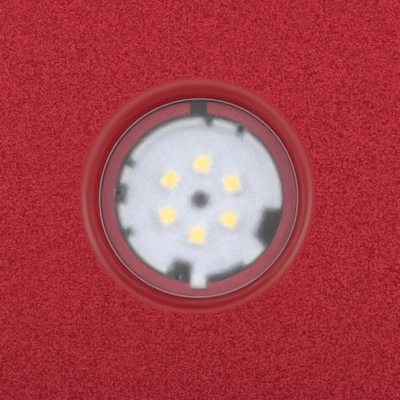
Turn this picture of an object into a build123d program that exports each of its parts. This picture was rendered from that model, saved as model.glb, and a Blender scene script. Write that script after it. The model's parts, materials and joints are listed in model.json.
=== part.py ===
"""Darkroom safelight: a square lamp head with a recessed round LED window, on a tilting stand.

Every piece of the lamp head is drawn in the head's own frame: X to the right and Y up as one
looks at the lamp, Z out of the front face towards the viewer. A depth is a distance behind the
front face. HEAD then turns that frame upright, so that the lamp shines towards -Y of the part.
Stand pieces are drawn straight in the part's frame: +Z up, origin on the table under the centre.
"""
from build123d import *
from math import cos, radians, sin
import os

# Lamp head casing
HEAD_SIZE = 140.0          # width and height
CORNER_RADIUS = 18.0
EDGE_ROUNDING = 5.0
WALL = 2.5
SHELL_DEPTH = 39.0
SEAL_THICKNESS = 0.8
COVER_FRONT = SHELL_DEPTH + SEAL_THICKNESS
HEAD_DEPTH = 52.0
COVER_ROUNDING = 4.0
COVER_RIBS = 9
COVER_RIB_LENGTH, COVER_RIB_WIDTH, COVER_RIB_HEIGHT = 86.0, 2.4, 1.4
COVER_RIB_FIRST, COVER_RIB_PITCH = -8.0, 7.0

# Lamp window: the front face rolls over into a dish, and the lens is seated on a ledge at its foot
DISH_RADIUS = 31.8
DISH_FOOT_RADIUS = 27.5
DISH_DEPTH = 6.6
LEDGE_DEPTH = 8.2
LEDGE_THICKNESS = 1.8
LEDGE_BACK = LEDGE_DEPTH + LEDGE_THICKNESS
WINDOW_RADIUS = 23.4
NOTCH_WIDTH = 4.8
TOP_NOTCH_END = 26.9
BOTTOM_NOTCH_END = 25.1

# Lens
LENS_RADIUS = 27.3
LENS_RIM_DEPTH = 6.3
LENS_CROWN_DEPTH = 4.9
LENS_BEVEL = 0.5
LENS_SEAT_WIDTH, LENS_RELIEF = 0.7, 0.15   # only the rim of the back face touches the ledge
HOOK_CENTRES = (31.5, 112, 196, 274.5)   # clockwise from twelve o'clock
HOOK_SWEEP = 5.0
HOOK_INNER, HOOK_OUTER = 21.2, 23.1
BARB_OUTER = 24.1

# White carrier ring that holds the LED board; its front edge is castellated
CARRIER_FRONT = LEDGE_BACK + 1.5
CARRIER_BACK = 20.0
WALL_INNER = 20.8
SHELF_INNER, SHELF_OUTER = 18.9, 23.0
FLANGE_OUTER, FLANGE_THICKNESS = 31.0, 2.0
WALL_SPANS = ((-59, 3), (10, 28), (35, 97), (127, 145), (176, 186), (205, 242), (249, 267), (282, 295))
BOARD_NOTCHES = ((97, 125), (187, 204))
GAP_OUTER = 26.0
BOARD_NOTCH_INNER = 17.3
EAR_ANGLES = (60, 180, 300)
EAR_PITCH = 37.0
EAR_RADIUS = 4.5

# Foam light seal; it is cut away round the hooks and at the bottom notch
FOAM_INNER, FOAM_OUTER = 22.5, 29.0
FOAM_HOOK_SWEEP = 9.0
FOAM_CUT_OUTER = 24.4
FOAM_NOTCH_SPAN = (173, 188)

# LED board
BOARD_FRONT = 14.2
BOARD_THICKNESS = 1.6
BOARD_BACK = BOARD_FRONT + BOARD_THICKNESS
BOARD_RADIUS = 20.6
LED_COUNT = 6
LED_PITCH_RADIUS = 9.8
LED_FIRST_ANGLE = 4.0
LED_SIZE, LED_HEIGHT = 5.0, 1.6
PHOSPHOR_RADIUS = 2.0
SPREADER_RADIUS, SPREADER_THICKNESS = 16.8, 3.0

# Screws and inserts
M3 = 1.5
M3_HEAD, M3_HEAD_HEIGHT = 2.8, 2.2
M3_DRIVE = 1.1             # half width of the cross recess
SMALL_SCREW, SMALL_HEAD, SMALL_HEAD_HEIGHT = 1.25, 2.3, 1.6
CASE_SCREW_AT = 55.0       # distance of the corner posts from the centre lines
POST_RADIUS = 5.0
INSERT_RADIUS, INSERT_LENGTH = 2.6, 8.0
CASE_SCREW_SEAT = 48.5     # depth where the heads bear, inside the counterbores

# Driver electronics on the rear cover
DRIVER_FRONT = 36.0
DRIVER_THICKNESS = 1.6
DRIVER_WIDTH, DRIVER_HEIGHT = 72.0, 40.0
DRIVER_AT = (0.0, 24.0)
STANDOFF_RADIUS = 3.0
STANDOFF_X, STANDOFF_Y = 31.0, 15.0
TERMINAL_AT = (18.0, 12.0)
TERMINAL_WIDTH, TERMINAL_DEEP, TERMINAL_HEIGHT = 10.0, 8.0, 9.0
TERMINAL_WAYS = (-2.5, 2.5)
WIRE_RADIUS = 0.7
WIRE_BEND = 2.0

# Switch and power inlet in the rear cover
SWITCH_AT = (28.0, -36.0)
SWITCH_WIDTH, SWITCH_HEIGHT = 19.0, 28.0
SWITCH_BEZEL = 2.0
BEZEL_THICKNESS = 2.0
ROCKER_WIDTH, ROCKER_HEIGHT, ROCKER_RISE = 13.0, 20.8, 7.4
ROCKER_PIVOT_DEPTH = 47.5
ROCKER_TILT = 8.0
INLET_AT = (-28.0, -36.0)
INLET_THREAD = 4.0
INLET_BORE = 2.75
INLET_PIN = 1.0
INLET_FRONT, SWITCH_FRONT = 37.0, 38.0   # depths that their bodies reach inside
BOARD_PADS_Y = DRIVER_AT[1] - DRIVER_HEIGHT / 2 + 1.2

# Stand: a folded steel bracket with rubber feet and a tripod bush
PIVOT_HEIGHT = 84.0
FOOT_HEIGHT, FOOT_RADIUS = 3.0, 7.0
STEEL = 3.0
STAND_DEPTH = 80.0
ARM_INNER = 71.7
ARM_OUTER = ARM_INNER + STEEL
EDGE_SOFTENING = 0.5
ARM_TOP_RADIUS = 15.0
ARM_FOOT_WIDTH = 56.0
BEND_RADIUS = 5.0
SCREW_HOLE_RADIUS = 2.75
SCREW_HOLE_X, SCREW_HOLE_Y = 40.0, 33.0
FOOT_X, FOOT_Y = 62.0, 30.0
BUSH_RADIUS, BUSH_NECK_RADIUS, BUSH_BORE, BUSH_HEIGHT = 6.0, 4.5, 2.6, 5.5

# Pivot hardware
BOLT_RADIUS = 3.0
RUNNING_CLEARANCE = 0.08
PIVOT_BOSS_RADIUS, PIVOT_BOSS_LENGTH = 8.5, 14.0
PIVOT_INSERT_RADIUS, PIVOT_INSERT_LENGTH = 4.5, 12.0
FRICTION_RADIUS, FRICTION_THICKNESS = 13.0, 1.6
WASHER_RADIUS, WASHER_THICKNESS = 9.0, 1.0
FACE_GAP = 0.1
WASHER_START = ARM_OUTER + FACE_GAP
KNOB_START = WASHER_START + WASHER_THICKNESS
KNOB_RADIUS, KNOB_LENGTH = 15.0, 15.0
KNOB_LOBES, KNOB_LOBE_CUT = 6, 5.0
KNOB_HUB_RADIUS, KNOB_HUB_LENGTH = 8.0, 4.0
KNOB_WALL = 5.0            # what is left over the bolt's end

HEAD = Plane(origin=(0, -HEAD_DEPTH / 2, PIVOT_HEIGHT), x_dir=(1, 0, 0), z_dir=(0, -1, 0)).location
HALF = HEAD_SIZE / 2
OVERCUT = 1.0


def clock(radius, angle):
    """Point at a distance from the lamp's axis, at an angle clockwise from twelve o'clock."""
    return radius * sin(radians(angle)), radius * cos(radians(angle))


def rod(radius, front, back, at=(0, 0)):
    """Solid cylinder between two depths."""
    return Pos(at[0], at[1], -(front + back) / 2) * Cylinder(radius, back - front)


def ring(outer, inner, front, back, at=(0, 0)):
    return rod(outer, front, back, at) - rod(inner, front - OVERCUT, back + OVERCUT, at)


def block(width, height, front, back, at=(0, 0)):
    return Pos(at[0], at[1], -(front + back) / 2) * Box(width, height, back - front)


def slab(size, radius, front, back):
    """Square plate with rounded corners, between two depths."""
    return Pos(0, 0, -back) * extrude(RectangleRounded(size, size, radius), back - front)


def sector(inner, outer, start, end, front, back):
    """Part of a ring, from one clock angle to another."""
    first, sweep = 90 - end, end - start
    arcs = [CenterArc((0, 0), radius, first, sweep) for radius in (inner, outer)]
    sides = [Line(arcs[0] @ end_at, arcs[1] @ end_at) for end_at in (0, 1)]
    return Pos(0, 0, -back) * extrude(make_face(arcs + sides), back - front, dir=(0, 0, 1))


def turned(edges):
    """Solid of revolution about the lamp's axis; edges hold (radius, height) points."""
    return Rot(90, 0, 0) * revolve(make_face(edges), Axis.Y)


def corners(x, y):
    return [(sx * x, sy * y) for sx in (-1, 1) for sy in (-1, 1)]


def joined(pieces):
    """Separate solids kept together as one node."""
    return Compound(children=[solid for piece in pieces for solid in piece.solids()])


def save(name, shape):
    export_step(shape, f"parts/{name}.step")


def save_head(name, shape):
    save(name, HEAD * shape)


def pan_screw(seat, length, at, radius=M3, head=M3_HEAD, head_height=M3_HEAD_HEIGHT, rearward=False):
    """Pan-head screw whose head bears at a depth; its head faces the viewer, or the rear."""
    dome = Pos(0, 0, head_height / 2) * Cylinder(head, head_height)
    dome = fillet(dome.edges().sort_by(Axis.Z)[-1], head_height * 0.55)
    recess = Box(2 * M3_DRIVE, 0.6, 1.6) + Box(0.6, 2 * M3_DRIVE, 1.6)
    shank = Pos(0, 0, -length / 2) * Cylinder(radius, length)
    screw = dome - Pos(0, 0, head_height) * recess + shank
    return Pos(at[0], at[1], -seat) * Rot(180 if rearward else 0, 0, 0) * screw


# ---------------------------------------------------------------- casing

def dish_void():
    """What is cut from the front face: a convex quarter-ellipse roll-over, then the lens's seat."""
    roll_centre, roll_width = (DISH_RADIUS, -DISH_DEPTH), DISH_RADIUS - DISH_FOOT_RADIUS
    roll = EllipticalCenterArc(roll_centre, roll_width, DISH_DEPTH, 90, arc_size=90)
    outline = Polyline((DISH_FOOT_RADIUS, -DISH_DEPTH), (DISH_FOOT_RADIUS, -LEDGE_DEPTH),
                       (0, -LEDGE_DEPTH), (0, OVERCUT), (DISH_RADIUS, OVERCUT), (DISH_RADIUS, 0))
    return turned([roll, *outline.edges()])


def front_shell():
    shell = slab(HEAD_SIZE, CORNER_RADIUS, 0, SHELL_DEPTH)
    shell = fillet(shell.faces().sort_by(Axis.Z)[-1].edges(), EDGE_ROUNDING)
    hollow = slab(HEAD_SIZE - 2 * WALL, CORNER_RADIUS - WALL, WALL, SHELL_DEPTH + OVERCUT)
    shell -= fillet(hollow.faces().sort_by(Axis.Z)[-1].edges(), EDGE_ROUNDING - WALL)

    dish = rod(DISH_RADIUS + WALL, WALL / 2, LEDGE_BACK)
    shell += fillet(dish.edges().sort_by(Axis.Z)[0], WALL)
    for angle in EAR_ANGLES:
        shell += rod(EAR_RADIUS, WALL / 2, CARRIER_FRONT, clock(EAR_PITCH, angle))
    for post in corners(CASE_SCREW_AT, CASE_SCREW_AT):
        shell += rod(POST_RADIUS, WALL / 2, SHELL_DEPTH - FACE_GAP, post)
    for side in (-1, 1):
        middle = side * (HALF - PIVOT_BOSS_LENGTH / 2 - WALL / 2)
        boss = Cylinder(PIVOT_BOSS_RADIUS, PIVOT_BOSS_LENGTH, rotation=(0, 90, 0))
        shell += Pos(middle, 0, -HEAD_DEPTH / 2) * boss

    shell -= dish_void()
    shell -= rod(WINDOW_RADIUS, LEDGE_DEPTH - OVERCUT, LEDGE_BACK + OVERCUT)
    for way, end in ((1, TOP_NOTCH_END), (-1, BOTTOM_NOTCH_END)):
        length = end - WINDOW_RADIUS + OVERCUT
        shell -= block(NOTCH_WIDTH, length, LEDGE_DEPTH, LEDGE_BACK + OVERCUT, (0, way * (end - length / 2)))
    for angle in EAR_ANGLES:
        shell -= rod(M3, CARRIER_FRONT - INSERT_LENGTH, CARRIER_FRONT + OVERCUT, clock(EAR_PITCH, angle))
    for post in corners(CASE_SCREW_AT, CASE_SCREW_AT):
        shell -= rod(INSERT_RADIUS, SHELL_DEPTH - INSERT_LENGTH - FACE_GAP, SHELL_DEPTH + OVERCUT, post)
        shell -= rod(M3 + 0.3, SHELL_DEPTH - INSERT_LENGTH - 4, SHELL_DEPTH, post)
    pivot_hole = Cylinder(PIVOT_INSERT_RADIUS, HEAD_SIZE + OVERCUT, rotation=(0, 90, 0))
    pivot_core = Cylinder(PIVOT_INSERT_RADIUS, HEAD_SIZE - 2 * PIVOT_INSERT_LENGTH, rotation=(0, 90, 0))
    return shell - Pos(0, 0, -HEAD_DEPTH / 2) * (pivot_hole - pivot_core)


def rear_cover():
    cover = slab(HEAD_SIZE, CORNER_RADIUS, COVER_FRONT, HEAD_DEPTH)
    cover = fillet(cover.faces().sort_by(Axis.Z)[0].edges(), COVER_ROUNDING)
    cover -= slab(HEAD_SIZE - 2 * WALL, CORNER_RADIUS - WALL, COVER_FRONT - OVERCUT, HEAD_DEPTH - WALL)
    lip_outer = HEAD_SIZE - 2 * WALL - 0.4
    lip = slab(lip_outer, CORNER_RADIUS - WALL - 0.2, SHELL_DEPTH - 3, HEAD_DEPTH - WALL)
    lip -= slab(lip_outer - 3, CORNER_RADIUS - WALL - 1.7, SHELL_DEPTH - 4, HEAD_DEPTH)
    cover += lip
    for post in corners(CASE_SCREW_AT, CASE_SCREW_AT):
        cover += rod(POST_RADIUS, COVER_FRONT, HEAD_DEPTH - WALL / 2, post)
    for at in driver_corners():
        cover += rod(STANDOFF_RADIUS, DRIVER_FRONT + DRIVER_THICKNESS, HEAD_DEPTH - WALL / 2, at)
    for row in range(COVER_RIBS):
        rib = block(COVER_RIB_LENGTH, COVER_RIB_WIDTH, HEAD_DEPTH - WALL, HEAD_DEPTH + COVER_RIB_HEIGHT)
        rib = fillet(rib.edges().filter_by(Axis.Z), COVER_RIB_WIDTH * 0.49)
        rib = fillet(rib.faces().sort_by(Axis.Z)[0].edges(), COVER_RIB_HEIGHT * 0.4)
        cover += Pos(0, COVER_RIB_FIRST + row * COVER_RIB_PITCH, 0) * rib

    for post in corners(CASE_SCREW_AT, CASE_SCREW_AT):
        cover -= rod(M3 + 0.3, COVER_FRONT - OVERCUT, HEAD_DEPTH + OVERCUT, post)
        cover -= rod(M3_HEAD + 0.4, CASE_SCREW_SEAT, HEAD_DEPTH + OVERCUT, post)
    for at in driver_corners():
        cover -= rod(M3 - 0.3, DRIVER_FRONT, DRIVER_FRONT + 9, at)
    cover -= block(SWITCH_WIDTH, SWITCH_HEIGHT, COVER_FRONT, HEAD_DEPTH + OVERCUT, SWITCH_AT)
    return cover - rod(INLET_THREAD, COVER_FRONT, HEAD_DEPTH + OVERCUT, INLET_AT)


def driver_corners():
    return [(DRIVER_AT[0] + x, DRIVER_AT[1] + y) for x, y in corners(STANDOFF_X, STANDOFF_Y)]


def housing_seal():
    """Flat rubber seal clamped between the shell's rear edge and the cover."""
    inset = 0.7
    seal = slab(HEAD_SIZE - 2 * inset, CORNER_RADIUS - inset, SHELL_DEPTH, COVER_FRONT)
    return seal - slab(HEAD_SIZE - 2 * WALL, CORNER_RADIUS - WALL, SHELL_DEPTH - 1, COVER_FRONT + 1)


def case_inserts():
    """Brass inserts in the shell's corner posts."""
    back = SHELL_DEPTH - FACE_GAP
    return joined([ring(INSERT_RADIUS, M3, back - INSERT_LENGTH, back, post)
                   for post in corners(CASE_SCREW_AT, CASE_SCREW_AT)])


def case_screws():
    return joined([pan_screw(CASE_SCREW_SEAT, 15.0, post, rearward=True)
                   for post in corners(CASE_SCREW_AT, CASE_SCREW_AT)])


# ---------------------------------------------------------------- lamp window

def lens():
    """Frosted window: a crowned disc with a bevelled rim, held by hooks behind the ledge."""
    crown = ThreePointArc((0, -LENS_CROWN_DEPTH), (LENS_RADIUS / 2, -LENS_CROWN_DEPTH - 0.36),
                          (LENS_RADIUS - LENS_BEVEL, -LENS_RIM_DEPTH))
    seat_inner, back = LENS_RADIUS - LENS_SEAT_WIDTH, LEDGE_DEPTH - LENS_RELIEF
    rim = Polyline((LENS_RADIUS - LENS_BEVEL, -LENS_RIM_DEPTH), (LENS_RADIUS, -LENS_RIM_DEPTH - LENS_BEVEL),
                   (LENS_RADIUS, -LEDGE_DEPTH), (seat_inner, -LEDGE_DEPTH), (seat_inner, -back), (0, -back),
                   (0, -LENS_CROWN_DEPTH))
    window = turned([crown, *rim.edges()])
    for centre in HOOK_CENTRES:
        start, end = centre - HOOK_SWEEP / 2, centre + HOOK_SWEEP / 2
        window += sector(HOOK_INNER, HOOK_OUTER, start, end, LEDGE_DEPTH - 0.5, LEDGE_BACK + 1.2)
        window += sector(HOOK_OUTER - 0.2, BARB_OUTER, start, end, LEDGE_BACK + 0.1, LEDGE_BACK + 1.2)
    return window


def light_seal():
    """Foam ring that stops stray light between the ledge and the carrier's flange."""
    foam = ring(FOAM_OUTER, FOAM_INNER, LEDGE_BACK, CARRIER_FRONT)
    cuts = [(centre - FOAM_HOOK_SWEEP / 2, centre + FOAM_HOOK_SWEEP / 2) for centre in HOOK_CENTRES]
    for start, end in [*cuts, FOAM_NOTCH_SPAN]:
        foam -= sector(FOAM_INNER - 1, FOAM_CUT_OUTER, start, end, LEDGE_BACK - 1, CARRIER_FRONT + 1)
    return foam


def led_carrier():
    """White ring: a flange on the shell's ears, a castellated wall and a shelf behind the board."""
    flange_back = CARRIER_FRONT + FLANGE_THICKNESS
    carrier = ring(FLANGE_OUTER, WALL_INNER, CARRIER_FRONT, flange_back)
    carrier += ring(SHELF_OUTER, WALL_INNER, CARRIER_FRONT, CARRIER_BACK)
    carrier += ring(SHELF_OUTER, SHELF_INNER, BOARD_BACK, CARRIER_BACK)
    web_start = FLANGE_OUTER - FLANGE_THICKNESS
    for angle in EAR_ANGLES:
        ear_at = clock(EAR_PITCH, angle)
        carrier += rod(EAR_RADIUS, CARRIER_FRONT, flange_back, ear_at)
        web_at = (0, (EAR_PITCH + web_start) / 2)
        web = block(2 * EAR_RADIUS, EAR_PITCH - web_start, CARRIER_FRONT, flange_back, web_at)
        carrier += Rot(0, 0, -angle) * web
        carrier -= rod(M3 + 0.2, CARRIER_FRONT - 1, flange_back + 1, ear_at)
    ends = [span[1] for span in WALL_SPANS]
    starts = [span[0] for span in WALL_SPANS[1:]] + [WALL_SPANS[0][0] + 360]
    gaps = [(WALL_INNER - 0.3, gap) for gap in zip(ends, starts)]
    for inner, (start, end) in gaps + [(BOARD_NOTCH_INNER, notch) for notch in BOARD_NOTCHES]:
        carrier -= sector(inner, GAP_OUTER, start, end, CARRIER_FRONT - 1, CARRIER_BACK + 1)
    return carrier


def carrier_screws():
    seat = CARRIER_FRONT + FLANGE_THICKNESS
    return joined([pan_screw(seat, 8.0, clock(EAR_PITCH, angle), rearward=True) for angle in EAR_ANGLES])


def led_board():
    board = rod(BOARD_RADIUS, BOARD_FRONT, BOARD_BACK)
    for start, end in BOARD_NOTCHES:
        board -= sector(BOARD_NOTCH_INNER, BOARD_RADIUS + 1, start, end, BOARD_FRONT - 1, BOARD_BACK + 1)
    return board - rod(SMALL_SCREW + 0.15, BOARD_FRONT - 1, BOARD_BACK + 1)


def led_places():
    step = 360 / LED_COUNT
    return [LED_FIRST_ANGLE + step * number for number in range(LED_COUNT)]


def led_wells(front):
    """The six round wells, from a depth down to the middle of the packages."""
    back = BOARD_FRONT - LED_HEIGHT / 2
    return [rod(PHOSPHOR_RADIUS, front, back, clock(LED_PITCH_RADIUS, angle)) for angle in led_places()]


def led_bodies():
    """White packages, each with a round well that holds the phosphor."""
    body = block(LED_SIZE, LED_SIZE, BOARD_FRONT - LED_HEIGHT, BOARD_FRONT, (0, LED_PITCH_RADIUS))
    return joined([Rot(0, 0, -angle) * body - well for angle, well in zip(led_places(), led_wells(0))])


def led_phosphors():
    return joined(led_wells(BOARD_FRONT - LED_HEIGHT))


def heat_spreader():
    """Aluminium disc behind the board; the board's centre screw threads into it."""
    return ring(SPREADER_RADIUS, SMALL_SCREW, BOARD_BACK, BOARD_BACK + SPREADER_THICKNESS)


# ---------------------------------------------------------------- electronics

def driver_board():
    board = block(DRIVER_WIDTH, DRIVER_HEIGHT, DRIVER_FRONT, DRIVER_FRONT + DRIVER_THICKNESS, DRIVER_AT)
    for at in driver_corners():
        board -= rod(M3 + 0.1, DRIVER_FRONT - 1, DRIVER_FRONT + DRIVER_THICKNESS + 1, at)
    return board


def driver_screws():
    return joined([pan_screw(DRIVER_FRONT, 6.0, at, radius=M3 - 0.3) for at in driver_corners()])


def on_driver(x, y):
    return DRIVER_AT[0] + x, DRIVER_AT[1] + y


def capacitor():
    can = rod(4.0, DRIVER_FRONT - 11, DRIVER_FRONT, on_driver(-18, 2))
    return fillet(can.edges().sort_by(Axis.Z)[-1], 0.6)


def inductor():
    at = on_driver(2, 2)
    base = block(10, 10, DRIVER_FRONT - 1, DRIVER_FRONT, at)
    return base + rod(4.2, DRIVER_FRONT - 6, DRIVER_FRONT - 1, at)


def driver_chip():
    return block(5, 6, DRIVER_FRONT - 1.6, DRIVER_FRONT, on_driver(-6, 9))


def terminal_block():
    """Two-way screw terminal; the wires enter from below."""
    x, y = TERMINAL_AT
    top = DRIVER_FRONT - TERMINAL_HEIGHT
    body = block(TERMINAL_WIDTH, TERMINAL_DEEP, top, DRIVER_FRONT, TERMINAL_AT)
    for way in TERMINAL_WAYS:
        mouth = Cylinder(WIRE_RADIUS + 0.3, 5, rotation=(90, 0, 0))
        body -= Pos(x + way, y + 2 - TERMINAL_DEEP / 2, -(DRIVER_FRONT - 3)) * mouth
        body -= rod(1.6, top - 1, top + 3, (x + way, y))
    return body


def wire(points):
    """Insulated wire along straight runs joined by arcs."""
    path = FilletPolyline(*points, radius=WIRE_BEND)
    start = Plane(origin=path @ 0, z_dir=path % 0)
    return sweep(start * Circle(WIRE_RADIUS), path=path)


def led_wires():
    """From the terminals to the LED board's back, in the gap between the spreader and the shelf."""
    wires = []
    for way, angle in zip(TERMINAL_WAYS, (132, 90)):
        x, end = TERMINAL_AT[0] + way, clock(17.85, angle)
        mouth_y, mouth_depth = TERMINAL_AT[1], DRIVER_FRONT - 3
        wires.append(wire([(x, mouth_y - 3, -mouth_depth), (x, mouth_y - 8, -mouth_depth),
                           (*end, -27), (*end, -BOARD_BACK)]))
    return joined(wires)


def panel_wires(at, front, spacing, slack):
    """A pair of wires from a rear-panel fitting's front end up to the lower edge of the driver board."""
    pair = []
    for way in (-spacing / 2, spacing / 2):
        x = at[0] + way
        pair.append(wire([(x, at[1], 0.5 - front), (x, at[1], slack - front),
                          (x, 0, slack - front), (x, BOARD_PADS_Y, 0.8 - DRIVER_FRONT)]))
    return joined(pair)


def inlet_wires():
    return panel_wires(INLET_AT, INLET_FRONT, 3.2, 5)


def switch_wires():
    return panel_wires(SWITCH_AT, SWITCH_FRONT, 8, 6)


# ---------------------------------------------------------------- switch and inlet

def switch_frame():
    """Snap-in body of the rocker switch, open at the rear for the rocker."""
    bezel_front = HEAD_DEPTH
    bezel = block(SWITCH_WIDTH + 2 * SWITCH_BEZEL, SWITCH_HEIGHT + 2 * SWITCH_BEZEL,
                  bezel_front, bezel_front + BEZEL_THICKNESS, SWITCH_AT)
    bezel = fillet(bezel.edges().filter_by(Axis.Z), 1.5)
    bezel = fillet(bezel.faces().sort_by(Axis.Z)[0].edges(), 0.8)
    body = block(SWITCH_WIDTH - 0.2, SWITCH_HEIGHT - 0.2, SWITCH_FRONT, bezel_front, SWITCH_AT)
    well = block(ROCKER_WIDTH + 0.8, ROCKER_HEIGHT + 1.2, ROCKER_PIVOT_DEPTH - 5.5,
                 bezel_front + BEZEL_THICKNESS + 1, SWITCH_AT)
    trunnion = Cylinder(1.2 + RUNNING_CLEARANCE, SWITCH_WIDTH - 2, rotation=(0, 90, 0))
    return bezel + body - well - Pos(SWITCH_AT[0], SWITCH_AT[1], -ROCKER_PIVOT_DEPTH) * trunnion


def switch_rocker():
    """Two-facet rocker on trunnions, drawn level and then tipped to its off position."""
    half, crown = ROCKER_HEIGHT / 2, ROCKER_HEIGHT / 2 - 0.6
    side = Polyline((-crown, ROCKER_RISE), (0, ROCKER_RISE - 1), (crown, ROCKER_RISE), (half, 2.0),
                    (half - 1.2, -2.0), (0, -3.6), (1.2 - half, -2.0), (-half, 2.0), (-crown, ROCKER_RISE))
    prism = extrude(Plane.YZ * make_face(side.edges()), ROCKER_WIDTH / 2, both=True)
    crests = prism.edges().filter_by(Axis.X).sort_by(Axis.Z)[-3:]
    prism = fillet(crests, 0.5)
    trunnion = Cylinder(1.2, SWITCH_WIDTH - 3, rotation=(0, 90, 0))
    rocker = Rot(0, 180, 0) * (prism + trunnion)
    return Pos(SWITCH_AT[0], SWITCH_AT[1], -ROCKER_PIVOT_DEPTH) * Rot(-ROCKER_TILT, 0, 0) * rocker


def dc_inlet():
    """Threaded panel socket with a rear flange; the bore takes a barrel plug."""
    flange = rod(6.0, HEAD_DEPTH, HEAD_DEPTH + 1.6, INLET_AT)
    flange = fillet(flange.edges().sort_by(Axis.Z)[0], 0.6)
    barrel = rod(INLET_THREAD - 0.05, INLET_FRONT, HEAD_DEPTH, INLET_AT)
    return flange + barrel - rod(INLET_BORE, HEAD_DEPTH - 8.5, HEAD_DEPTH + 3, INLET_AT)


def inlet_pin():
    pin = rod(INLET_PIN, HEAD_DEPTH - 8.5, HEAD_DEPTH - 0.5, INLET_AT)
    return fillet(pin.edges().sort_by(Axis.Z)[0], 0.5)


def inlet_nut():
    """Hexagon nut inside the cover."""
    back = HEAD_DEPTH - WALL
    nut = Pos(INLET_AT[0], INLET_AT[1], -back) * extrude(RegularPolygon(6.2, 6), 2.5)
    return nut - rod(INLET_THREAD, back - 4, back + 1, INLET_AT)


# ---------------------------------------------------------------- stand

def bracket():
    """Folded steel: a base plate and two tapering arms whose tops are centred on the pivot."""
    arm_top = PIVOT_HEIGHT + ARM_TOP_RADIUS
    floor = FOOT_HEIGHT + STEEL
    profile = Polyline((-ARM_OUTER, arm_top), (-ARM_OUTER, FOOT_HEIGHT), (ARM_OUTER, FOOT_HEIGHT),
                       (ARM_OUTER, arm_top), (ARM_INNER, arm_top), (ARM_INNER, floor), (-ARM_INNER, floor),
                       (-ARM_INNER, arm_top), (-ARM_OUTER, arm_top))
    strip = extrude(Plane.XZ * make_face(profile.edges()), STAND_DEPTH / 2, both=True)
    for height, radius in ((FOOT_HEIGHT, BEND_RADIUS), (floor, BEND_RADIUS - STEEL)):
        bend = strip.edges().filter_by(Axis.Y).filter_by_position(Axis.Z, height - 0.1, height + 0.1)
        strip = fillet(bend, radius)
    strip &= extrude(Plane.YZ * bracket_side(), ARM_OUTER + 1, both=True)
    strip = fillet(strip.edges(), EDGE_SOFTENING)

    for x, y in corners(SCREW_HOLE_X, SCREW_HOLE_Y):
        strip -= Pos(x, y, FOOT_HEIGHT) * Cylinder(SCREW_HOLE_RADIUS, 4 * STEEL)
    strip -= Pos(0, 0, FOOT_HEIGHT) * Cylinder(BUSH_NECK_RADIUS, 4 * STEEL)
    pivot = Cylinder(BOLT_RADIUS + RUNNING_CLEARANCE, 2 * ARM_OUTER + 2, rotation=(0, 90, 0))
    return strip - Pos(0, 0, PIVOT_HEIGHT) * pivot


def bracket_side():
    """Side view of the bracket: a low foot with rounded corners and a tapering arm."""
    foot_top = FOOT_HEIGHT + STEEL + 6
    foot = Pos(0, foot_top / 2) * Rectangle(STAND_DEPTH, foot_top)
    half, arm_start = ARM_FOOT_WIDTH / 2, foot_top - 3
    arm = Polyline((-half, arm_start), (-ARM_TOP_RADIUS, PIVOT_HEIGHT), (ARM_TOP_RADIUS, PIVOT_HEIGHT),
                   (half, arm_start), (-half, arm_start))
    outline = foot + make_face(arm.edges())
    inner_corners = outline.vertices().filter_by(
        lambda v: abs(v.Y - foot_top) < 0.1 and abs(v.X) < STAND_DEPTH / 2 - 1)
    outline = fillet(inner_corners, 6)
    return outline + Pos(0, PIVOT_HEIGHT) * Circle(ARM_TOP_RADIUS)


def feet():
    """Rubber pads under the base plate's corners."""
    pads = []
    for x, y in corners(FOOT_X, FOOT_Y):
        pad = Pos(x, y, FOOT_HEIGHT / 2) * Cylinder(FOOT_RADIUS, FOOT_HEIGHT)
        pads.append(fillet(pad.edges().sort_by(Axis.Z)[0], 0.6))
    return joined(pads)


def tripod_bush():
    """Brass bush riveted into the base plate, tapped for a tripod screw."""
    neck = Pos(0, 0, FOOT_HEIGHT + BUSH_HEIGHT / 2) * Cylinder(BUSH_NECK_RADIUS, BUSH_HEIGHT)
    collar_height = BUSH_HEIGHT - STEEL
    collar = Pos(0, 0, FOOT_HEIGHT + STEEL + collar_height / 2) * Cylinder(BUSH_RADIUS, collar_height)
    return neck + collar - Cylinder(BUSH_BORE, 4 * BUSH_HEIGHT)


# ---------------------------------------------------------------- pivots, drawn for the right-hand side

def along_x(radius, start, end):
    """Cylinder on the pivot's axis between two distances from the middle."""
    return Pos((start + end) / 2, 0, PIVOT_HEIGHT) * Cylinder(radius, end - start, rotation=(0, 90, 0))


def bored(solid, radius):
    """The solid with the bolt's hole through it."""
    return solid - along_x(radius, HALF - 2 * PIVOT_INSERT_LENGTH, KNOB_START + KNOB_LENGTH)


def friction_washer():
    return bored(along_x(FRICTION_RADIUS, HALF, HALF + FRICTION_THICKNESS), BOLT_RADIUS + 0.4)


def pivot_insert():
    return bored(along_x(PIVOT_INSERT_RADIUS, HALF - PIVOT_INSERT_LENGTH, HALF), BOLT_RADIUS + 0.05)


def pivot_bolt():
    bolt = along_x(BOLT_RADIUS, HALF - PIVOT_INSERT_LENGTH + 1, KNOB_START + KNOB_LENGTH - KNOB_WALL)
    return chamfer(bolt.edges().sort_by(Axis.X)[0], 0.5)


def pivot_washer():
    return bored(along_x(WASHER_RADIUS, WASHER_START, KNOB_START), BOLT_RADIUS + 0.02)


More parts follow.
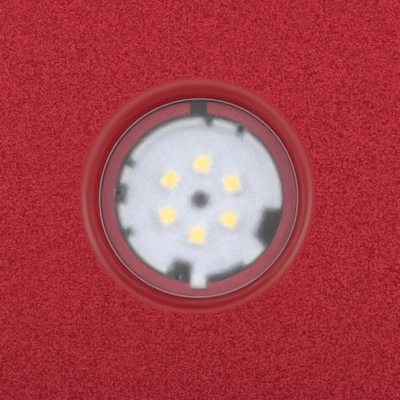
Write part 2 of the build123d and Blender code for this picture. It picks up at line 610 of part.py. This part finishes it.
def clamp_knob():
    """Lobed hand knob with a raised hub towards the bracket."""
    outline = Circle(KNOB_RADIUS - 1)
    for number in range(KNOB_LOBES):
        x, y = clock(KNOB_RADIUS + 2.2, number * 360 / KNOB_LOBES)
        outline -= Pos(x, y) * Circle(KNOB_LOBE_CUT)
    outline = fillet(outline.vertices(), 1.6)
    grip_length = KNOB_LENGTH - KNOB_HUB_LENGTH
    grip = extrude(outline, grip_length)
    grip = fillet(grip.faces().sort_by(Axis.Z)[-1].edges(), 1.2)
    hub = Pos(0, 0, -KNOB_HUB_LENGTH / 2) * Cylinder(KNOB_HUB_RADIUS, KNOB_HUB_LENGTH)
    dimple = Pos(0, 0, grip_length) * Cylinder(KNOB_HUB_RADIUS - 1, 1.6)
    knob = Pos(0, 0, KNOB_HUB_LENGTH) * (grip + hub - dimple)
    knob = Pos(KNOB_START, 0, PIVOT_HEIGHT) * Rot(0, 90, 0) * knob
    return knob - along_x(BOLT_RADIUS, HALF, KNOB_START + KNOB_LENGTH - KNOB_WALL)


def save_pair(name, shape):
    """A right-hand piece and its mirror image on the left."""
    save(f"right_{name}", shape)
    save(f"left_{name}", mirror(shape, Plane.YZ))


def main():
    os.makedirs("parts", exist_ok=True)
    for make in (front_shell, rear_cover, housing_seal, case_inserts, case_screws, lens, light_seal,
                 led_carrier, carrier_screws, led_board, led_bodies, led_phosphors, heat_spreader,
                 driver_board, driver_screws, capacitor, inductor, driver_chip, terminal_block,
                 led_wires, inlet_wires, switch_wires, switch_frame, switch_rocker,
                 dc_inlet, inlet_pin, inlet_nut):
        save_head(make.__name__, make())
    save_head("board_screw", pan_screw(BOARD_FRONT, 4.4, (0, 0), SMALL_SCREW, SMALL_HEAD, SMALL_HEAD_HEIGHT))
    for make in (bracket, feet, tripod_bush):
        save(make.__name__, make())
    for make in (friction_washer, pivot_insert, pivot_bolt, pivot_washer, clamp_knob):
        save_pair(make.__name__, make())


main()
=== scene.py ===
"""Darkroom safelight: procedural finishes, small details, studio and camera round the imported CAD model.

Everything is in metres, in the frame's own axes: X to the right, Y from the lamp window to the
rear cover, Z up. MM turns the sizes of textures and small pieces into metres.
"""
import json
import math

import bmesh
import bpy
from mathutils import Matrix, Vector

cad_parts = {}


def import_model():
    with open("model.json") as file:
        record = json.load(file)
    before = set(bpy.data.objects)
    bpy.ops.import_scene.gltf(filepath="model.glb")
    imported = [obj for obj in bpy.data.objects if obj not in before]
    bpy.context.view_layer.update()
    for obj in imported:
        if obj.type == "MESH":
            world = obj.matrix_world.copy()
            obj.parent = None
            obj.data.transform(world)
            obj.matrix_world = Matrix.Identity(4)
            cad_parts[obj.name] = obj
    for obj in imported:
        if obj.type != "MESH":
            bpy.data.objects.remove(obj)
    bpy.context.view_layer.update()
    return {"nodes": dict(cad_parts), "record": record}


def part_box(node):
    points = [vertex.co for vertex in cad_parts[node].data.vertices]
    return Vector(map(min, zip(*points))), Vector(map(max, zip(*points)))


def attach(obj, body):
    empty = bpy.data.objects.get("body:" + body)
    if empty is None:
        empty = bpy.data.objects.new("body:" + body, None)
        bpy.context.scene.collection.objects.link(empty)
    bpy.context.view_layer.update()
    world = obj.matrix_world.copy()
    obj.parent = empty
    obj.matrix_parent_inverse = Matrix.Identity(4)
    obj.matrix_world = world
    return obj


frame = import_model()

MM = 0.001

face_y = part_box("front_shell")[0].y
lens_low, lens_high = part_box("lens")
switch_low, switch_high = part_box("switch_frame")

LAMP = Vector(((lens_low.x + lens_high.x) / 2, face_y, (lens_low.z + lens_high.z) / 2))
LENS_RADIUS = (lens_high.x - lens_low.x) / 2
DISH_RADIUS = LENS_RADIUS + 4.5 * MM
LENS_CROWN = 1.4 * MM       # how far the lens's middle stands in front of its rim
GRAIN = 0.34 * MM           # size of one speck of the casing's texture and of the lens's frosting

RIM_LINE_RADIUS = 0.14 * MM     # of the thin round line painted pale, a painted highlight for the lens's bevel
RIM_LINE_INSET = 0.22 * MM      # from the lens's edge to the middle of that line
RIM_LINE_SINK = 0.2 * MM        # from the front of the lens's rim back to the middle of that line
RIM_LINE_STEPS = 240
SECTION_POINTS = 10             # round the section of a swept line

MARK_MARGIN = 2.4 * MM          # from the switch frame's ends to the middle of its marks
MARK_LINE = 0.17 * MM           # half the width of a mark's painted line
MARK_HEIGHT = 0.08 * MM         # of the paint above the frame
MARK_STEPS = 16                 # in each half circle
OFF_RADIUS = 0.75 * MM
ON_RADIUS = 0.16 * MM
ON_HALF_LENGTH = 0.7 * MM


# ---------------------------------------------------------------- material building

class Surface:
    """A Principled material whose colour, roughness and relief come from procedural nodes."""

    def __init__(self, name, metallic=0.0, **constants):
        self.material = bpy.data.materials.new(name)
        self.material.use_nodes = True
        self.tree = self.material.node_tree
        self.shader = self.tree.nodes["Principled BSDF"]
        self.shader.inputs["Metallic"].default_value = metallic
        for socket, value in constants.items():
            self.shader.inputs[socket.replace("_", " ")].default_value = value
        self.place = self.tree.nodes.new("ShaderNodeTexCoord").outputs["Object"]

    def node(self, kind, inputs=None, **settings):
        """Add a node; each input is given a number, a colour or the socket that feeds it."""
        made = self.tree.nodes.new(kind)
        for key, value in settings.items():
            setattr(made, key, value)
        for key, value in (inputs or {}).items():
            if isinstance(value, bpy.types.NodeSocket):
                self.tree.links.new(value, made.inputs[key])
            else:
                made.inputs[key].default_value = value
        return made

    def stretched(self, factors):
        """The place, scaled by a factor on each axis, so that a pattern turns into streaks."""
        return self.node("ShaderNodeMapping", {"Vector": self.place, "Scale": factors}).outputs[0]

    def noise(self, size, detail=2.0, place=None):
        inputs = {"Vector": place or self.place, "Scale": 1 / size, "Detail": detail}
        return self.node("ShaderNodeTexNoise", inputs).outputs["Fac"]

    def cells(self, size, feature="F1"):
        made = self.node("ShaderNodeTexVoronoi", {"Vector": self.place, "Scale": 1 / size}, feature=feature)
        return made.outputs["Distance"]

    def speckle(self, size):
        """One random value for each small cell."""
        made = self.node("ShaderNodeTexVoronoi", {"Vector": self.place, "Scale": 1 / size})
        return self.node("ShaderNodeSeparateColor", {"Color": made.outputs["Color"]}).outputs[0]

    def spread(self, value, low, high, start=0.0, end=1.0, smooth=False):
        """Map a value from start..end to low..high."""
        inputs = {"Value": value, "From Min": start, "From Max": end, "To Min": low, "To Max": high}
        kind = "SMOOTHSTEP" if smooth else "LINEAR"
        return self.node("ShaderNodeMapRange", inputs, interpolation_type=kind).outputs["Result"]

    def math(self, operation, first, second=0.0):
        return self.node("ShaderNodeMath", {0: first, 1: second}, operation=operation).outputs[0]

    def mix(self, share, first, second):
        """Colour between two colours, each a triple or a socket."""
        inputs = {0: share, 6: opaque(first), 7: opaque(second)}
        return self.node("ShaderNodeMix", inputs, data_type="RGBA").outputs[2]

    def colour(self, socket):
        self.tree.links.new(socket, self.shader.inputs["Base Color"])

    def roughness(self, socket):
        self.tree.links.new(socket, self.shader.inputs["Roughness"])

    def relief(self, height, depth):
        """Bump from a height of 0 to 1, depth metres deep."""
        bump = self.node("ShaderNodeBump", {"Height": height, "Distance": depth, "Strength": 1.0})
        self.tree.links.new(bump.outputs["Normal"], self.shader.inputs["Normal"])


def opaque(colour):
    """Give a colour triple its fourth channel; a socket stays as it is."""
    return (*colour, 1) if isinstance(colour, tuple) else colour


def shade(colour, factor):
    return tuple(channel * factor for channel in colour)


def textured_plastic(name, colour, roughness, grain=0.35 * MM):
    """Moulded plastic with a fine eroded texture and faint handling marks."""
    made = Surface(name)
    cloud = made.noise(18 * MM, 3)
    fine = made.mix(made.speckle(grain), shade(colour, 0.88), shade(colour, 1.12))
    made.colour(made.mix(made.spread(cloud, 0, 0.35, 0.45, 0.75), fine, shade(colour, 1.15)))
    made.roughness(made.spread(made.noise(5 * MM, 4), roughness - 0.06, roughness + 0.08, 0.3, 0.7))
    made.relief(made.math("ADD", made.cells(grain), made.noise(grain / 2)), 0.02 * MM)
    return made.material


def smooth_plastic(name, colour, roughness):
    """Satin or glossy plastic with slight mould waviness."""
    made = Surface(name)
    made.colour(made.mix(made.noise(3 * MM, 4), shade(colour, 0.93), shade(colour, 1.06)))
    made.roughness(made.spread(made.noise(1.2 * MM, 3), roughness - 0.05, roughness + 0.08, 0.3, 0.7))
    made.relief(made.noise(0.6 * MM, 2), 0.004 * MM)
    return made.material


def metal(name, colour, roughness, streak=(1, 1, 1)):
    """Turned, plated or brushed metal; a streak factor over 1 packs the grain closer along that axis."""
    made = Surface(name, metallic=1.0)
    grains = made.noise(0.25 * MM, 4, made.stretched(streak))
    made.colour(made.mix(grains, shade(colour, 0.82), shade(colour, 1.05)))
    made.roughness(made.spread(made.noise(2 * MM, 4), roughness - 0.07, roughness + 0.14, 0.3, 0.7))
    made.relief(grains, 0.003 * MM)
    return made.material


def rubber(name, colour, roughness=0.75):
    made = Surface(name, Specular_IOR_Level=0.3)
    dust = made.noise(2.5 * MM, 5)
    made.colour(made.mix(made.spread(dust, 0, 0.5, 0.5, 0.8), colour, shade(colour, 2.2)))
    made.roughness(made.spread(made.noise(0.8 * MM, 3), roughness - 0.1, roughness + 0.1))
    made.relief(made.noise(0.25 * MM, 3), 0.02 * MM)
    return made.material


def powder_coat(name, colour, roughness):
    """Baked powder paint: orange peel with a finer pebble on top."""
    made = Surface(name)
    peel = made.noise(1.3 * MM, 2)
    pebble = made.cells(0.45 * MM)
    made.colour(made.mix(made.speckle(0.4 * MM), shade(colour, 0.85), shade(colour, 1.2)))
    made.roughness(made.spread(peel, roughness - 0.08, roughness + 0.1, 0.3, 0.7))
    made.relief(made.math("ADD", peel, made.math("MULTIPLY", pebble, 0.5)), 0.035 * MM)
    return made.material


# ---------------------------------------------------------------- the lamp's own materials

def lamp_distance(made):
    """Distance of a place on the surface from the axis through the middle of the lens."""
    offset = made.node("ShaderNodeVectorMath", {0: made.place, 1: (LAMP.x, 0, LAMP.z)}, operation="SUBTRACT")
    flat = made.node("ShaderNodeVectorMath", {0: offset.outputs[0], 1: (1, 0, 1)}, operation="MULTIPLY")
    return made.node("ShaderNodeVectorMath", {0: flat.outputs[0]}, operation="LENGTH").outputs["Value"]


def red_shell():
    """Red casing: eroded matt texture, a glossy skin in the dish, and a painted pool of light under the
    lens, where the shelf is painted paler and pinker than the rest of the casing.

    The texture fades out where the face rolls into the dish, and the gloss fades out beside the lens.
    """
    made = Surface("shell_red", Specular_IOR_Level=0.07, Coat_Roughness=0.36, Coat_IOR=1.6)
    deep, pale, clouded = (0.235, 0.0, 0.001), (0.61, 0.043, 0.074), (0.40, 0.016, 0.032)
    # the second colour here is painted light: the shelf under the lens painted paler and pinker, for the
    # light that shows there through the frosted lens
    smooth, lens_shelf_painted_light = (0.37, 0.003, 0.012), (0.37, 0.036, 0.060)
    distance = lamp_distance(made)
    smoothed = made.spread(distance, 1, 0, DISH_RADIUS - 1.2 * MM, DISH_RADIUS + 0.8 * MM, True)
    textured = made.math("SUBTRACT", 1.0, smoothed)
    gloss = made.spread(distance, 0.1, 0.95, DISH_RADIUS - 4.2 * MM, DISH_RADIUS - 2.4 * MM, True)
    # where the painted pool of light lies: the shelf under the lens
    painted_light_mask = made.spread(distance, 1, 0, LENS_RADIUS - 0.6 * MM, LENS_RADIUS)
    patches = made.spread(made.noise(1.5 * GRAIN, 2), 0.3, 1.6, 0.35, 0.65)
    speck = made.math("MULTIPLY", made.speckle(GRAIN), patches)
    cloud = made.spread(made.noise(25 * MM, 3), 0, 0.25, 0.4, 0.8)
    face = made.mix(cloud, made.mix(speck, deep, pale), clouded)
    made.colour(made.mix(painted_light_mask, made.mix(textured, smooth, face), lens_shelf_painted_light))
    made.roughness(made.spread(made.noise(6 * MM, 4), 0.42, 0.52, 0.3, 0.7))
    made.relief(made.math("MULTIPLY", made.noise(GRAIN, 3), textured), 0.08 * MM)
    made.tree.links.new(made.math("MULTIPLY", smoothed, gloss), made.shader.inputs["Coat Weight"])
    return made.material


def frosted_lens():
    """Frosted polycarbonate: each grain of the frosting bends the light its own way, under a faint veil.

    Its shadow rays pass straight through, so the studio lights reach the housing behind it.
    """
    made = Surface("lens_frosted", Transmission_Weight=0.985, IOR=1.33)
    made.colour(made.mix(made.speckle(GRAIN), (0.78, 0.80, 0.84), (1.0, 1.0, 1.0)))
    made.roughness(made.spread(made.noise(0.8 * MM, 3), 0.43, 0.49, 0.3, 0.7))
    made.relief(made.noise(1.2 * GRAIN, 2), 0.12 * MM)
    clear = made.node("ShaderNodeBsdfTransparent", {"Color": (0.97, 0.98, 1.0, 1)})
    path = made.node("ShaderNodeLightPath")
    both = made.node("ShaderNodeMixShader", {0: path.outputs["Is Shadow Ray"]})
    made.tree.links.new(made.shader.outputs[0], both.inputs[1])
    made.tree.links.new(clear.outputs[0], both.inputs[2])
    made.tree.links.new(both.outputs[0], made.tree.nodes["Material Output"].inputs["Surface"])
    return made.material


def painted_rim_highlight():
    """A painted highlight for the lens's polished bevel: pale pink colour standing for the light it catches
    from the sides.
    """
    made = Surface("lens_rim_painted_highlight", Specular_IOR_Level=0.7)
    # pale pink colour painted on as the bevel's highlight
    made.colour(made.mix(made.noise(2.0 * MM, 3), (0.50, 0.36, 0.40), (0.68, 0.54, 0.58)))
    made.roughness(made.spread(made.noise(1.0 * MM, 2), 0.15, 0.3))
    made.relief(made.noise(0.5 * MM, 2), 0.004 * MM)
    return made.material


def phosphor():
    """Yellow silicone filling of an LED, mottled, and faintly bright of itself."""
    made = Surface("phosphor_yellow")
    made.colour(made.mix(made.noise(0.5 * MM, 3), (0.92, 0.58, 0.08), (0.98, 0.70, 0.17)))
    made.roughness(made.spread(made.noise(0.4 * MM, 2), 0.2, 0.35))
    made.relief(made.noise(0.7 * MM, 2), 0.01 * MM)
    made.shader.inputs["Emission Color"].default_value = (1.0, 0.74, 0.26, 1)
    made.shader.inputs["Emission Strength"].default_value = 0.30
    return made.material


def solder_mask(name, colour, copper):
    """Lacquered circuit board with faintly raised copper under the mask."""
    made = Surface(name)
    tracks = made.spread(made.cells(3.2 * MM, "DISTANCE_TO_EDGE"), 1, 0, 0.03, 0.10, True)
    made.colour(made.mix(tracks, colour, copper))
    made.roughness(made.spread(made.noise(1.0 * MM, 3), 0.25, 0.4, 0.3, 0.7))
    made.relief(tracks, 0.03 * MM)
    return made.material


STEEL_GREY = (0.55, 0.55, 0.56)
MATERIALS = {
    "shell_red": red_shell(),
    "cover_black": textured_plastic("cover_black", (0.028, 0.028, 0.030), 0.52),
    "seal_rubber": rubber("seal_rubber", (0.018, 0.018, 0.018)),
    "insert_brass": metal("insert_brass", (0.72, 0.50, 0.20), 0.28, (1, 1, 8)),
    "screw_black": metal("screw_black", (0.035, 0.035, 0.038), 0.38),
    "screw_steel": metal("screw_steel", STEEL_GREY, 0.26, (6, 1, 1)),
    "lens_frosted": frosted_lens(),
    "foam_black": rubber("foam_black", (0.02, 0.02, 0.02), 0.9),
    "carrier_white": smooth_plastic("carrier_white", (0.90, 0.88, 0.89), 0.42),
    "board_white": solder_mask("board_white", (0.72, 0.75, 0.81), (0.69, 0.72, 0.78)),
    "led_white": smooth_plastic("led_white", (0.84, 0.84, 0.80), 0.4),
    "phosphor_yellow": phosphor(),
    "spreader_aluminium": metal("spreader_aluminium", (0.75, 0.76, 0.78), 0.35, (1, 1, 10)),
    "pcb_green": solder_mask("pcb_green", (0.012, 0.11, 0.04), (0.03, 0.2, 0.08)),
    "capacitor_sleeve": smooth_plastic("capacitor_sleeve", (0.02, 0.025, 0.07), 0.25),
    "ferrite": textured_plastic("ferrite", (0.05, 0.05, 0.055), 0.6),
    "chip_black": smooth_plastic("chip_black", (0.02, 0.02, 0.02), 0.45),
    "terminal_green": smooth_plastic("terminal_green", (0.02, 0.2, 0.08), 0.3),
    "wire_insulation": smooth_plastic("wire_insulation", (0.35, 0.01, 0.01), 0.35),
    "switch_black": smooth_plastic("switch_black", (0.022, 0.022, 0.024), 0.3),
    "inlet_nickel": metal("inlet_nickel", (0.62, 0.60, 0.57), 0.2),
    "bracket_paint": powder_coat("bracket_paint", (0.03, 0.03, 0.032), 0.42),
    "knob_black": textured_plastic("knob_black", (0.025, 0.025, 0.027), 0.48, 0.5 * MM),
}
RIM_HIGHLIGHT_PAINT = painted_rim_highlight()
MARK_WHITE = smooth_plastic("mark_white", (0.75, 0.75, 0.73), 0.45)

for part in frame["record"]["subparts"]:
    mesh = frame["nodes"][part["node"]].data
    mesh.materials.clear()
    mesh.materials.append(MATERIALS[part["material_slot"]])


# ---------------------------------------------------------------- small pieces

def piece(name, build, material, body):
    """A new mesh object from a bmesh, given the material and riding on a body."""
    bmesh.ops.recalc_face_normals(build, faces=build.faces)
    for face in build.faces:
        face.smooth = True
    mesh = bpy.data.meshes.new(name)
    build.to_mesh(mesh)
    build.free()
    made = bpy.data.objects.new(name, mesh)
    bpy.context.scene.collection.objects.link(made)
    mesh.materials.append(material)
    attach(made, body)


def swept(build, path, section):
    """Skin a closed tube: path gives a ring of frames, section gives points in each frame."""
    rows = [[build.verts.new(origin + side * u + up * v) for u, v in section] for origin, side, up in path]
    for row, following in zip(rows, rows[1:] + rows[:1]):
        for here in range(len(section)):
            there = (here + 1) % len(section)
            build.faces.new((row[here], row[there], following[there], following[here]))


def circle_section(radius):
    turns = [math.tau * k / SECTION_POINTS for k in range(SECTION_POINTS)]
    return [(radius * math.cos(turn), radius * math.sin(turn)) for turn in turns]


def rim_line():
    """A thin line round the lens painted pale, a painted highlight for its polished bevel."""
    centre = Vector((LAMP.x, lens_low.y + LENS_CROWN + RIM_LINE_SINK, LAMP.z))
    turns = [math.tau * k / RIM_LINE_STEPS for k in range(RIM_LINE_STEPS)]
    outward = [Vector((math.sin(turn), 0, math.cos(turn))) for turn in turns]
    path = [(centre + out * (LENS_RADIUS - RIM_LINE_INSET), out, Vector((0, 1, 0))) for out in outward]
    build = bmesh.new()
    swept(build, path, circle_section(RIM_LINE_RADIUS))
    piece("lens_rim_highlight_line", build, RIM_HIGHLIGHT_PAINT, "head")


def switch_mark(name, z, half_length, radius):
    """A raised loop of white paint on the switch frame: a stadium, or a circle when half_length is 0."""
    centre = Vector(((switch_low.x + switch_high.x) / 2, switch_high.y, z))
    path = []
    for end in (1, -1):
        for k in range(MARK_STEPS + 1):
            angle = math.pi * k / MARK_STEPS
            out = Vector((math.cos(angle), 0, math.sin(angle))) * end
            path.append((centre + Vector((0, 0, half_length * end)) + out * radius, out, Vector((0, 1, 0))))
    build = bmesh.new()
    swept(build, path, [(u * MARK_LINE, max(v, 0.0) * MARK_HEIGHT) for u, v in circle_section(1.0)])
    piece(name, build, MARK_WHITE, "head")


rim_line()
switch_mark("off_mark", switch_high.z - MARK_MARGIN, 0, OFF_RADIUS)
switch_mark("on_mark", switch_low.z + MARK_MARGIN, ON_HALF_LENGTH, ON_RADIUS)


# ---------------------------------------------------------------- studio

WORLD_LIGHT = 0.06          # strength of the world as a light
WORLD_SEEN = 0.70           # strength of the world as the camera sees it


def soft_light(name, place, aim, size, power):
    """A rectangular light in place that shines at aim; the camera doesn't see it."""
    lamp = bpy.data.lights.new(name, "AREA")
    lamp.shape = "RECTANGLE"
    lamp.size, lamp.size_y = size
    lamp.energy = power
    made = bpy.data.objects.new(name, lamp)
    made.location = place
    made.rotation_euler = (Vector(aim) - Vector(place)).to_track_quat("-Z", "Y").to_euler()
    made.visible_camera = False
    bpy.context.scene.collection.objects.link(made)


def soft_lights():
    """A box to each side in front, a small one ahead, a card on the floor, and two boxes behind."""
    soft_light("left_box", (-0.50, -0.46, 0.31), LAMP, (0.50, 0.40), 1.82)
    soft_light("right_box", (0.50, -0.46, 0.31), LAMP, (0.50, 0.40), 1.82)
    soft_light("front_box", (0.0, -0.34, 0.24), LAMP, (0.25, 0.16), 0.17)
    soft_light("floor_card", (0.0, -0.30, 0.003), (0.0, -0.30, 1.0), (0.9, 0.40), 0.7)
    soft_light("rear_box", (0.30, 0.75, 0.75), LAMP, (0.9, 0.6), 9.0)
    soft_light("rear_left_box", (-0.80, 0.45, 0.35), LAMP, (0.5, 0.6), 3.0)


def world():
    """A plain grey surround, faint as a light and brighter as the camera sees it."""
    made = bpy.data.worlds.new("studio")
    made.use_nodes = True
    tree = made.node_tree
    background = tree.nodes["Background"]
    background.inputs["Color"].default_value = (1.0, 1.0, 1.0, 1)
    seen = tree.nodes.new("ShaderNodeLightPath").outputs["Is Camera Ray"]
    strength = tree.nodes.new("ShaderNodeMapRange")
    strength.inputs["To Min"].default_value = WORLD_LIGHT
    strength.inputs["To Max"].default_value = WORLD_SEEN
    tree.links.new(seen, strength.inputs["Value"])
    tree.links.new(strength.outputs["Result"], background.inputs["Strength"])
    bpy.context.scene.world = made


def floor():
    bpy.ops.mesh.primitive_plane_add(size=8, location=(0, 0, 0))
    made = bpy.context.object
    made.name = "floor"
    pale = Surface("floor_pale")
    pale.colour(pale.mix(pale.noise(0.15, 3), (0.78, 0.78, 0.77), (0.82, 0.82, 0.81)))
    pale.roughness(pale.spread(pale.noise(0.05, 3), 0.6, 0.75))
    made.data.materials.append(pale.material)


def camera():
    """Nearly square to the lamp's face, a little to the right of it and below."""
    view_width = 106.7 * MM
    focal_length, sensor_width = 120.0, 36.0
    distance = view_width * focal_length / sensor_width
    lean = math.radians(8.0)
    sideways, down = 0.70, 0.71
    aim = LAMP + Vector((1.2 * MM, 0, -1.4 * MM))
    back = Vector((math.sin(lean) * sideways, -math.cos(lean), -math.sin(lean) * down)).normalized()
    data = bpy.data.cameras.new("camera")
    data.lens, data.sensor_width = focal_length, sensor_width
    made = bpy.data.objects.new("camera", data)
    made.location = aim + back * distance
    made.rotation_mode = "QUATERNION"
    made.rotation_quaternion = (-back).to_track_quat("-Z", "Y")
    bpy.context.scene.collection.objects.link(made)
    bpy.context.scene.camera = made


bpy.context.scene.view_settings.view_transform = "Standard"
world()
soft_lights()
floor()
camera()
